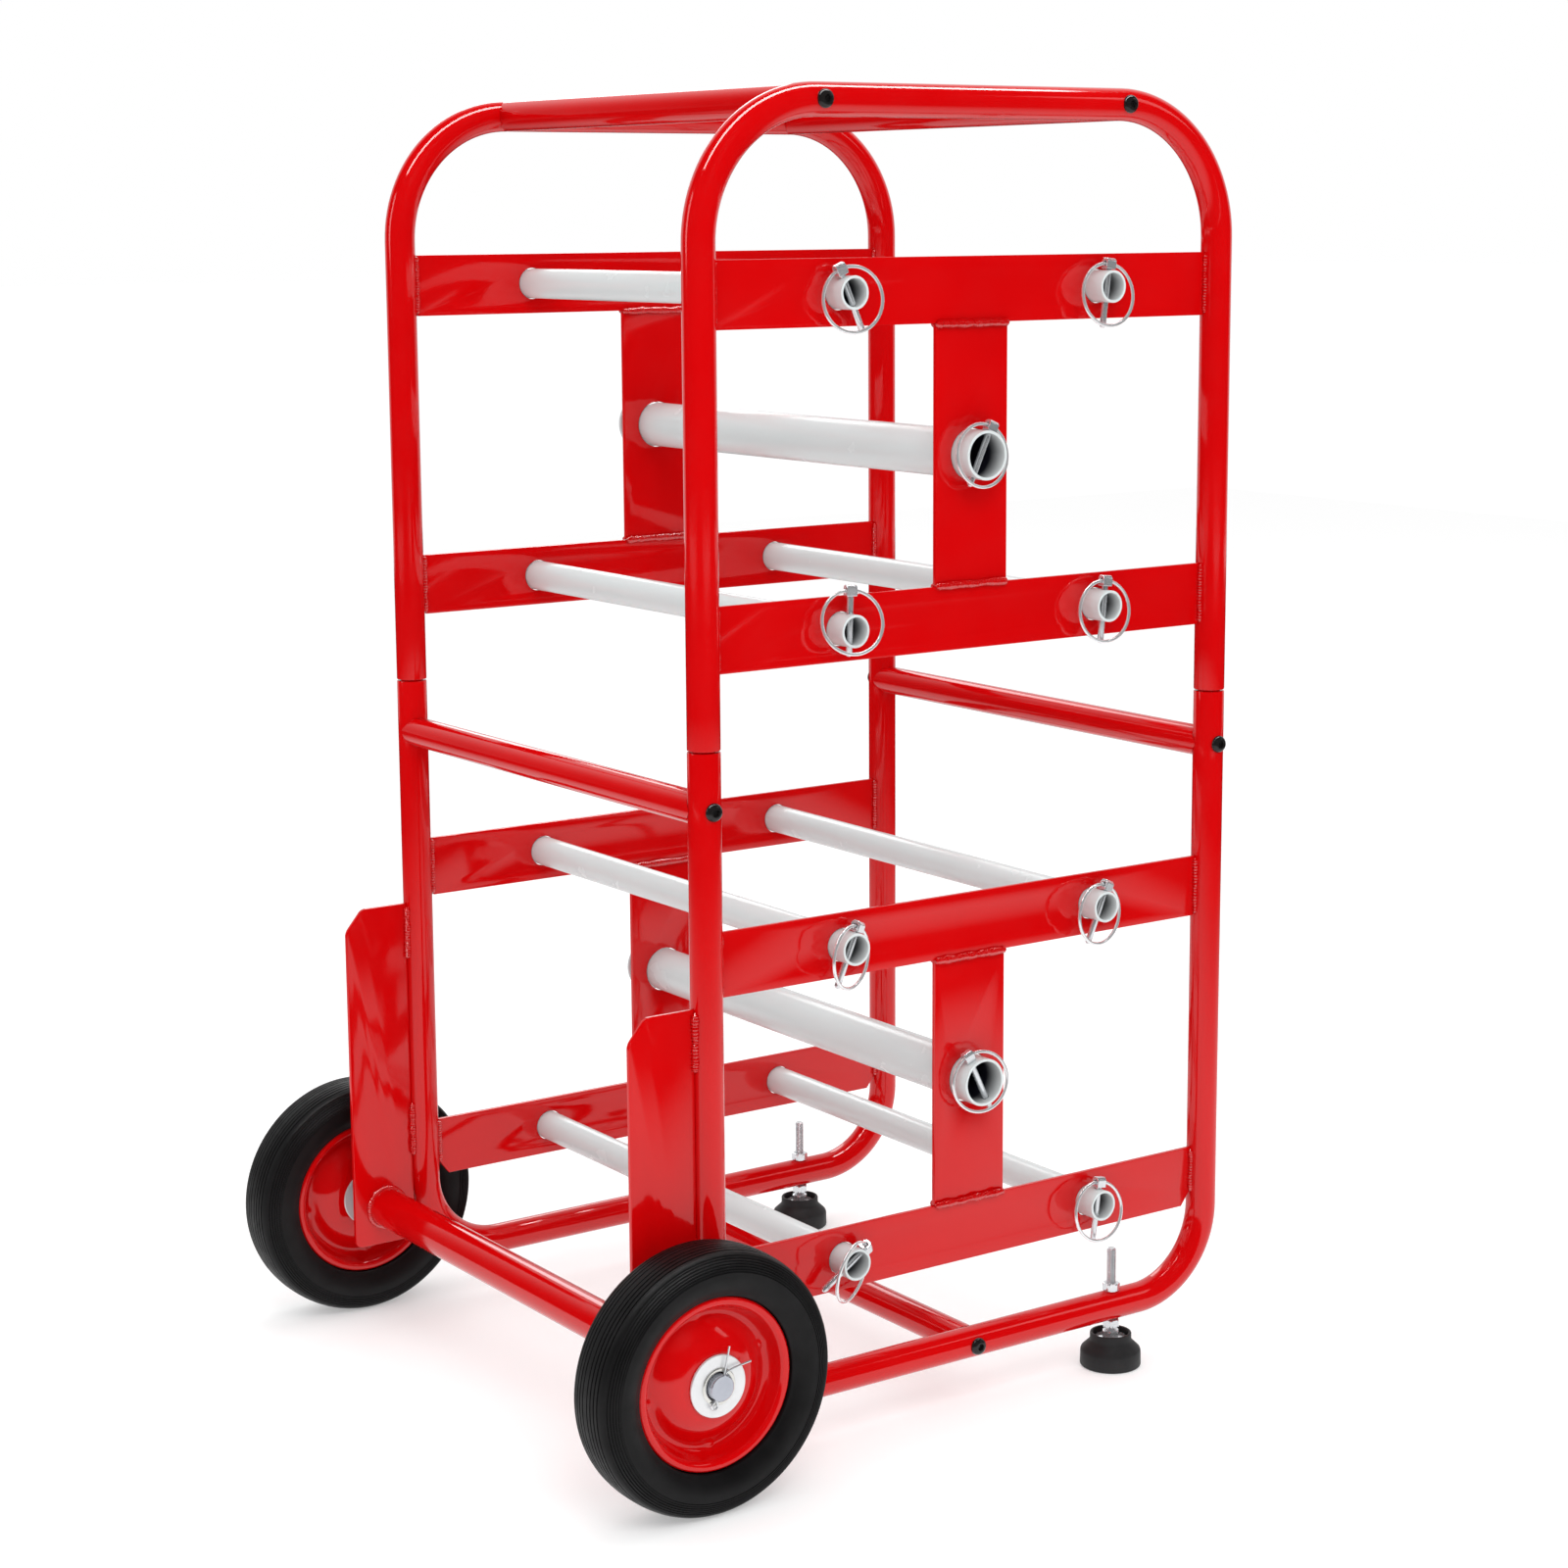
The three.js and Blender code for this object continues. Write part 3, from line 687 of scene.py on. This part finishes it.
# ---- wheels ------------------------------------------------------------------------------------
def smooth_profile(points, per=6):
    """Catmull-Rom curve through (radius, height) points."""
    pts = [Vector(p) for p in points]
    pts = [2 * pts[0] - pts[1]] + pts + [2 * pts[-1] - pts[-2]]
    out = []
    for p0, p1, p2, p3 in zip(pts, pts[1:], pts[2:], pts[3:]):
        for k in range(per):
            t = k / per
            q = 0.5 * ((2 * p1) + (p2 - p0) * t + (2 * p0 - 5 * p1 + 4 * p2 - p3) * t * t
                       + (3 * p1 - p0 - 3 * p2 + p3) * t ** 3)
            out.append((q.x, q.y))
    return out + [tuple(pts[-2])]


RIM_DISH = [(24.6, 17.9), (30, 16.6), (36, 13.8), (41, 10.2), (45, 6.6), (48, 4.3), (50, 3.5),
            (52.3, 3.7), (54.2, 5.0), (56, 7.6), (57.6, 11.5), (58.8, 15.0), (60.5, 17.0),
            (62.6, 17.8), (64.8, 17.6), (66.1, 16.4)]
DIMPLES = [0.35, 1.75, 3.3, 4.75]


def wheel(side, s):
    half = [(10.9, 17.6), (11.3, 18.0), (23.8, 18.0)] + smooth_profile(RIM_DISH, 4) + [
        (66.3, 14.4), (65.8, 13.7), (60.2, 13.5)]

    def dimpled(r, h, a):
        near = max(0.0, 1 - abs(r - 51) / 4.5)
        dent = 0.0
        for at in DIMPLES:
            gap = (a - at + math.pi) % TAU - math.pi
            dent += math.exp(-(gap / 0.055) ** 2)
        return r * MM, (h - math.copysign(1.7 * near * dent, -h)) * MM

    loop = half + [(r, -h) for r, h in reversed(half)]
    solid = lathe(loop, "x", (s * WHEEL_X, AXLE_Y, AXLE_Z), 144, shape=dimpled)
    solid.piece(f"rim_{side}", RED, f"wheel_{side}", "red_paint", [f"rim_{side}"], sharp=30)

    # tyre: bead, bulged side wall with fine rings, shoulder, then ribs between the grooves
    half = [(60.6, 13.1), (66.9, 13.2), (67.2, 14.0), (67.0, 18.4), (67.6, 19.2)]
    half += smooth_profile([(68.6, 19.6), (72, 22.0), (76, 24.0), (81, 25.3), (86.4, 25.5)], 4)
    for k in range(6):                                     # fine ribs round the shoulder
        r = 87.4 + 1.75 * k
        u = 25.5 - 0.043 * (r - 86) ** 2
        half += [(r, u - 0.5), (r + 0.3, u), (r + 1.0, u - 0.12), (r + 1.3, u - 0.7)]
    half += [(98.6, 19.9), (99.6, 18.6)]
    crown = [(100.1, 17.6), (100.7, 15.4), (99.3, 15.2), (99.3, 14.5), (101.0, 14.2),
             (101.3, 11.6), (99.8, 11.4), (99.8, 10.6), (101.5, 10.4), (101.75, 7.6),
             (100.2, 7.4), (100.2, 6.6), (101.85, 6.4), (101.95, 3.4), (100.3, 3.2),
             (100.3, 2.5), (101.97, 2.3), (102.0, 0.0)]
    half += crown
    loop = half + [(r, -h) for r, h in reversed(half[:-1])]
    solid = lathe([(r * MM, h * MM) for r, h in loop], "x", (s * WHEEL_X, AXLE_Y, AXLE_Z), 144)
    solid.piece(f"tyre_{side}", TYRE, f"wheel_{side}", "tyre_rubber", [f"tyre_{side}"], sharp=24)


for side, s in SIDES:
    wheel(side, s)


# ---- levelling feet ------------------------------------------------------------------------------
def hex_nut(name, x, y, z, height, body, turn=0.0, flats=13.0):
    """Hexagon nut with chamfered corners, standing on z."""
    a_p, corner = flats / 2, flats / 2 / math.cos(math.pi / 6)
    h = height
    rows = [(4.1, 0.4), (4.6, 0.0), (6.1, 0.0), (6.7, 0.25), (9, 0.9), (9, h - 0.9),
            (6.7, h - 0.25), (6.1, h), (4.6, h), (4.1, h - 0.4)]

    def shape(r, hh, a):
        limit = hex_radius(a_p, a + turn)
        if r == 9:
            r = min(limit, corner)
        return min(r, limit) * MM, hh * MM

    solid = lathe(rows, "z", (x, y, z), 72, shape=shape)
    return solid.piece(name, ZINC, body, "zinc_plate", sharp=24)


def threaded(profile_z0, profile_z1, major, pitch, depth, x, y, n=28):
    """Rod with a real helical thread between two heights, its top end tapered."""
    rings, steps = [], int((profile_z1 - profile_z0) / pitch * 8)
    for i in range(steps + 1):
        z = profile_z0 + (profile_z1 - profile_z0) * i / steps
        ring = []
        for k in range(n):
            a = TAU * k / n
            phase = (z / pitch - a / TAU) % 1.0
            cut = depth * (1 - abs(2 * phase - 1)) ** 0.8
            fade = min(1.0, (profile_z1 - z) / (0.9 * MM))
            r = major - cut - (1 - fade) * 0.8 * MM
            ring.append(Vector((x + r * math.cos(a), y + r * math.sin(a), z)))
        rings.append(ring)
    return rings


for side, s in SIDES:
    x, body = s * SIDE_X, f"levelling_foot_{side}"
    pad = [(0.4, 0.0), (22.8, 0.0), (24.2, 0.3), (25.0, 1.0), (25.3, 2.1), (25.05, 12.6),
           (24.8, 13.8), (24.2, 15.0), (19.0, 20.0), (17.9, 21.2), (17.2, 22.8), (17.2, 27.4),
           (16.9, 28.2), (16.2, 28.5), (15.4, 28.4), (14.9, 27.9), (14.8, 27.3), (14.8, 22.7),
           (14.4, 22.4), (0.4, 22.4)]
    lathe([(r * MM, h * MM) for r, h in pad], "z", (x, FOOT_Y, 0), 96, wrap=False).piece(
        f"foot_{side}", PAD, body, "foot_rubber", [f"foot_{side}"], sharp=30)
    plate = [(0.4, 22.9), (12.6, 22.9), (13.0, 23.3), (13.0, 24.1), (12.6, 24.5), (0.4, 24.5)]
    stud = lathe([(r * MM, h * MM) for r, h in plate], "z", (x, FOOT_Y, 0), 28, wrap=False)
    stud.shell(threaded(24.0 * MM, 101 * MM, 4 * MM, 1.25 * MM, 0.62 * MM, x, FOOT_Y))
    stud.piece(f"foot_stud_{side}", ZINC, body, "zinc_plate", [f"foot_stud_{side}"], sharp=50)
    hex_nut(f"foot_nut_{side}", x, FOOT_Y, 24.4 * MM, 5.8, body, 0.2)
    top = BASE_Z + TUBE_R
    hex_nut(f"lock_nut_upper_{side}", x, FOOT_Y, top - 0.1 * MM, 6.8, "frame", 0.5)
    hex_nut(f"lock_nut_lower_{side}", x, FOOT_Y, BASE_Z - TUBE_R - 6.7 * MM, 6.8, "frame", 0.1)


# ---- spindles and ring pins -------------------------------------------------------------------
def spindle(name):
    """White tube with a stop disc at one end and a cross hole for the pin at the other."""
    joint, size = JOINTS[f"spindle_{name}_spin"], BIG if name.startswith("mid") else SMALL
    _, y, z = joint["pos_m"]
    body = f"spindle_{name}_body"
    r, bore, stop = size["r"], size["bore"], size["stop"]
    e = 0.35 * MM
    profile = [(bore, STOP_X + e), (bore + e, STOP_X), (stop - 2 * e, STOP_X),
               (stop, STOP_X + 2 * e), (stop, STOP_X + 3 * MM - 2 * e),
               (stop - 2 * e, STOP_X + 3 * MM),
               (r + 1.6 * MM, STOP_X + 3 * MM), (r + 0.5 * MM, STOP_X + 3.6 * MM),
               (r, STOP_X + 5 * MM)]
    profile += [(r, x * MM) for x in range(-220, 221, 40)]
    profile += [(r, SPINDLE_END - e), (r - e, SPINDLE_END), (bore + e, SPINDLE_END),
                (bore, SPINDLE_END - e)]
    obj = lathe(profile, "x", (0, y, z), 56).piece(
        f"spindle_{name}", WHITE, body, "white_paint", [f"spindle_{name}"], sharp=28)

    # the bore's faces take the material with painted shade, darkening into the tube
    obj.data.materials.append(BORE)
    for face in obj.data.polygons:
        if math.hypot(face.center.y - y, face.center.z - z) < bore + 0.05 * MM:
            face.material_index = 1

    # the pin's own frame: Z along the pin towards its head, Y along the ring's hinge
    up = Vector(JOINTS[f"pin_{name}_pull"]["axis"])
    ring_joint = JOINTS[f"ring_{name}_swing"]
    hinge = -Vector(ring_joint["axis"])
    out = hinge.cross(up).normalized()
    place = Matrix.Translation(ring_joint["pos_m"]) @ Matrix(
        ((out.x, hinge.x, up.x, 0), (out.y, hinge.y, up.y, 0), (out.z, hinge.z, up.z, 0),
         (0, 0, 0, 1)))
    hole = lathe([(2.85 * MM, -60 * MM), (2.85 * MM, 0.0)], "z", n=28, wrap=False).move(place)
    boolean_cut(obj, loose(hole, "cutter"))

    c, k = HEAD / 2, 2 * MM
    outline = [(-c, -c), (c, -c), (c, c - k), (c - k, c), (k - c, c), (-c, c - k)]
    head = Solid().shell([[Vector((u, -c, v)) for u, v in outline],
                          [Vector((u, c, v)) for u, v in outline]]).move(place)
    head = head.piece(f"pin_head_{name}", ZINC, f"pin_{name}_body", "zinc_plate", sharp=30)
    bore_cut = lathe([(2.0 * MM, -20 * MM), (2.0 * MM, 20 * MM)], "y", n=24, wrap=False).move(place)
    boolean_cut(head, loose(bore_cut, "cutter"))
    mod = head.modifiers.new("edges", "BEVEL")
    mod.width, mod.segments, mod.limit_method = 0.55 * MM, 3, "ANGLE"
    mod.angle_limit = math.radians(40)
    tip = c - PIN_LEN
    shank = [(0.4 * MM, tip), (1.2 * MM, tip + 0.1 * MM), (1.75 * MM, tip + 0.5 * MM),
             (PIN_R, tip + 1.9 * MM), (PIN_R, -c + 0.2 * MM), (0.4 * MM, -c + 0.2 * MM)]
    lathe(shank, "z", n=36, wrap=False).move(place).piece(
        f"pin_{name}", ZINC, f"pin_{name}_body", "zinc_plate", [f"pin_{name}"], sharp=40)

    # the CAD ring hangs a little off its pin, by the angle of its centre from the hinge
    cad_ring = frame["nodes"][f"ring_{name}"].data.vertices
    arm = sum((v.co for v in cad_ring), Vector()) / len(cad_ring) - Vector(ring_joint["pos_m"])
    lean = Matrix.Rotation(-math.atan2(arm.dot(out), -arm.dot(up)), 4, "Y")
    path = [Vector((0, RING_R * math.sin(TAU * i / 96), -RING_R * (1 - math.cos(TAU * i / 96))))
            for i in range(96)]
    rings = []
    for i, p in enumerate(path):
        t = (path[(i + 1) % 96] - path[i - 1]).normalized()
        u = Vector((1, 0, 0))
        rings.append(circle(p, u, t.cross(u), WIRE_R, 16))
    Solid().shell(rings, wrap=True).move(place @ lean).piece(
        f"ring_{name}", WIRE, f"ring_{name}_body", "bright_wire", [f"ring_{name}"], sharp=60)


for row in (1, 2, 3, 4):
    for end in ("rear", "front"):
        spindle(f"row{row}_{end}")
spindle("mid_upper")
spindle("mid_lower")


# ---- stage, light and camera -----------------------------------------------------------------
def glow(name, strength, colour=(1, 1, 1), fade=None):
    """A card material that only gives light; fade=(inner, outer) radius dims it outwards."""
    m = bpy.data.materials.new(name)
    m.use_nodes = True
    tree = m.node_tree
    tree.nodes.clear()
    emit = tree.nodes.new("ShaderNodeEmission")
    emit.inputs["Color"].default_value = (*colour, 1)
    emit.inputs["Strength"].default_value = strength
    out = tree.nodes.new("ShaderNodeOutputMaterial")
    tree.links.new(emit.outputs["Emission"], out.inputs["Surface"])
    if fade:
        coord = tree.nodes.new("ShaderNodeTexCoord")
        size = tree.nodes.new("ShaderNodeVectorMath")
        size.operation = "LENGTH"
        span = tree.nodes.new("ShaderNodeMapRange")
        span.interpolation_type = "SMOOTHSTEP"
        span.inputs["From Min"].default_value, span.inputs["From Max"].default_value = fade
        span.inputs["To Min"].default_value, span.inputs["To Max"].default_value = strength, 0.02
        tree.links.new(coord.outputs["Object"], size.inputs[0])
        tree.links.new(size.outputs["Value"], span.inputs["Value"])
        tree.links.new(span.outputs["Result"], emit.inputs["Strength"])
    return m


def card(name, centre, size, facing, material, mirror_only=True):
    """A flat panel of the stage, facing a point; mirror_only ones show in reflections alone."""
    me = bpy.data.meshes.new(name)
    w, h = size[0] / 2, size[1] / 2
    me.from_pydata([(-w, -h, 0), (w, -h, 0), (w, h, 0), (-w, h, 0)], [], [(0, 1, 2, 3)])
    return set_stage(name, me, centre, facing, material, mirror_only)


def set_stage(name, me, centre, facing, material, mirror_only):
    me.materials.append(material)
    obj = bpy.data.objects.new(name, me)
    bpy.context.scene.collection.objects.link(obj)
    obj.location = centre
    if facing is not None:
        obj.rotation_mode = "QUATERNION"
        obj.rotation_quaternion = (Vector(facing) - Vector(centre)).to_track_quat("Z", "Y")
    if mirror_only:
        obj.visible_camera = obj.visible_diffuse = obj.visible_shadow = False
        obj.visible_transmission = obj.visible_volume_scatter = False
    return obj


floor_paper, _, _b = shader("floor_paper", (0.74, 0.74, 0.74), 0.95)
_b.inputs["Emission Color"].default_value = (1, 1, 1, 1)
_b.inputs["Emission Strength"].default_value = 0.28
card("floor", (0, 0, 0), (80, 80), None, floor_paper, mirror_only=False)

def room_glow(name, dark, bright, towards, start, end):
    """Dim all round, bright on one side, so edges seen at a glance catch a light rim."""
    m = glow(name, dark)
    tree = m.node_tree
    emit = next(n for n in tree.nodes if n.type == "EMISSION")
    coord = tree.nodes.new("ShaderNodeTexCoord")
    unit = tree.nodes.new("ShaderNodeVectorMath")
    unit.operation = "NORMALIZE"
    dot = tree.nodes.new("ShaderNodeVectorMath")
    dot.operation = "DOT_PRODUCT"
    dot.inputs[1].default_value = towards
    span = tree.nodes.new("ShaderNodeMapRange")
    span.interpolation_type = "SMOOTHSTEP"
    span.inputs["From Min"].default_value, span.inputs["From Max"].default_value = start, end
    span.inputs["To Min"].default_value, span.inputs["To Max"].default_value = dark, bright
    tree.links.new(coord.outputs["Object"], unit.inputs[0])
    tree.links.new(unit.outputs["Vector"], dot.inputs[0])
    tree.links.new(dot.outputs["Value"], span.inputs["Value"])
    tree.links.new(span.outputs["Result"], emit.inputs["Strength"])
    return m


# what the gloss reflects: a room that is lit on the far side, a pool of lit floor, soft boxes
room = bpy.data.meshes.new("room")
bm = bmesh.new()
bmesh.ops.create_icosphere(bm, subdivisions=4, radius=7.0)
bm.to_mesh(room)
bm.free()
set_stage("room", room, (0, 0, 0), None,
          room_glow("room_dim", 0.012, 0.9, (-0.82, 0.57, 0.0), 0.3, 0.65), True)
card("lit_floor", (0, 0, 0.0008), (12, 12), None, glow("lit_floor_pool", 1.0, fade=(0.9, 2.5)))
card("strip_overhead", (0.1, -0.2, 2.55), (0.38, 3.3), (0.1, -0.2, 0), glow("strip", 15.0))
card("box_left", (-1.4, -3.0, 1.7), (0.7, 1.6), (0, 0, 0.9), glow("box_a", 3.0))
card("box_right", (2.2, 2.6, 2.2), (0.5, 1.4), (0, 0, 0.9), glow("box_b", 1.6))
card("box_back", (-2.6, 1.2, 2.0), (0.8, 1.6), (0, 0, 0.9), glow("box_c", 4.0))

world = bpy.data.worlds.new("studio")
world.use_nodes = True
world.node_tree.nodes["Background"].inputs["Color"].default_value = (1, 1, 1, 1)
world.node_tree.nodes["Background"].inputs["Strength"].default_value = 1.0
bpy.context.scene.world = world


def area(name, place, size, power, target=(0, 0, 0.5)):
    light = bpy.data.lights.new(name, "AREA")
    light.shape, light.size, light.size_y, light.energy = "RECTANGLE", size[0], size[1], power
    obj = bpy.data.objects.new(name, light)
    bpy.context.scene.collection.objects.link(obj)
    obj.location = place
    obj.rotation_mode = "QUATERNION"
    obj.rotation_quaternion = (Vector(target) - Vector(place)).to_track_quat("-Z", "Y")
    obj.visible_glossy = False
    return obj


area("key", (2.6, -1.0, 3.0), (1.8, 1.8), 38)
area("top", (-0.4, 0.4, 3.4), (2.0, 2.0), 22, (0, 0, 0))

CAM_AT = (2.11043, -1.41921, 0.94705)
AZIMUTH, ELEVATION, ROLL = math.radians(55.133), math.radians(9.879), math.radians(-0.368)
FOCAL_MM, SHIFT_X, SHIFT_Y = 71.79, -0.00464, -0.01718
back = Vector((math.sin(AZIMUTH) * math.cos(ELEVATION),
               -math.cos(AZIMUTH) * math.cos(ELEVATION), math.sin(ELEVATION)))
cam = bpy.data.objects.new("camera", bpy.data.cameras.new("camera"))
bpy.context.scene.collection.objects.link(cam)
cam.location = CAM_AT
cam.rotation_mode = "QUATERNION"
cam.rotation_quaternion = ((-back).to_track_quat("-Z", "Y")
                           @ Matrix.Rotation(ROLL, 3, "Z").to_quaternion())
cam.data.sensor_width, cam.data.lens = 36, FOCAL_MM
cam.data.shift_x, cam.data.shift_y = SHIFT_X, SHIFT_Y
cam.data.clip_start, cam.data.clip_end = 0.05, 100
bpy.context.scene.camera = cam
bpy.context.scene.view_settings.view_transform = "Standard"
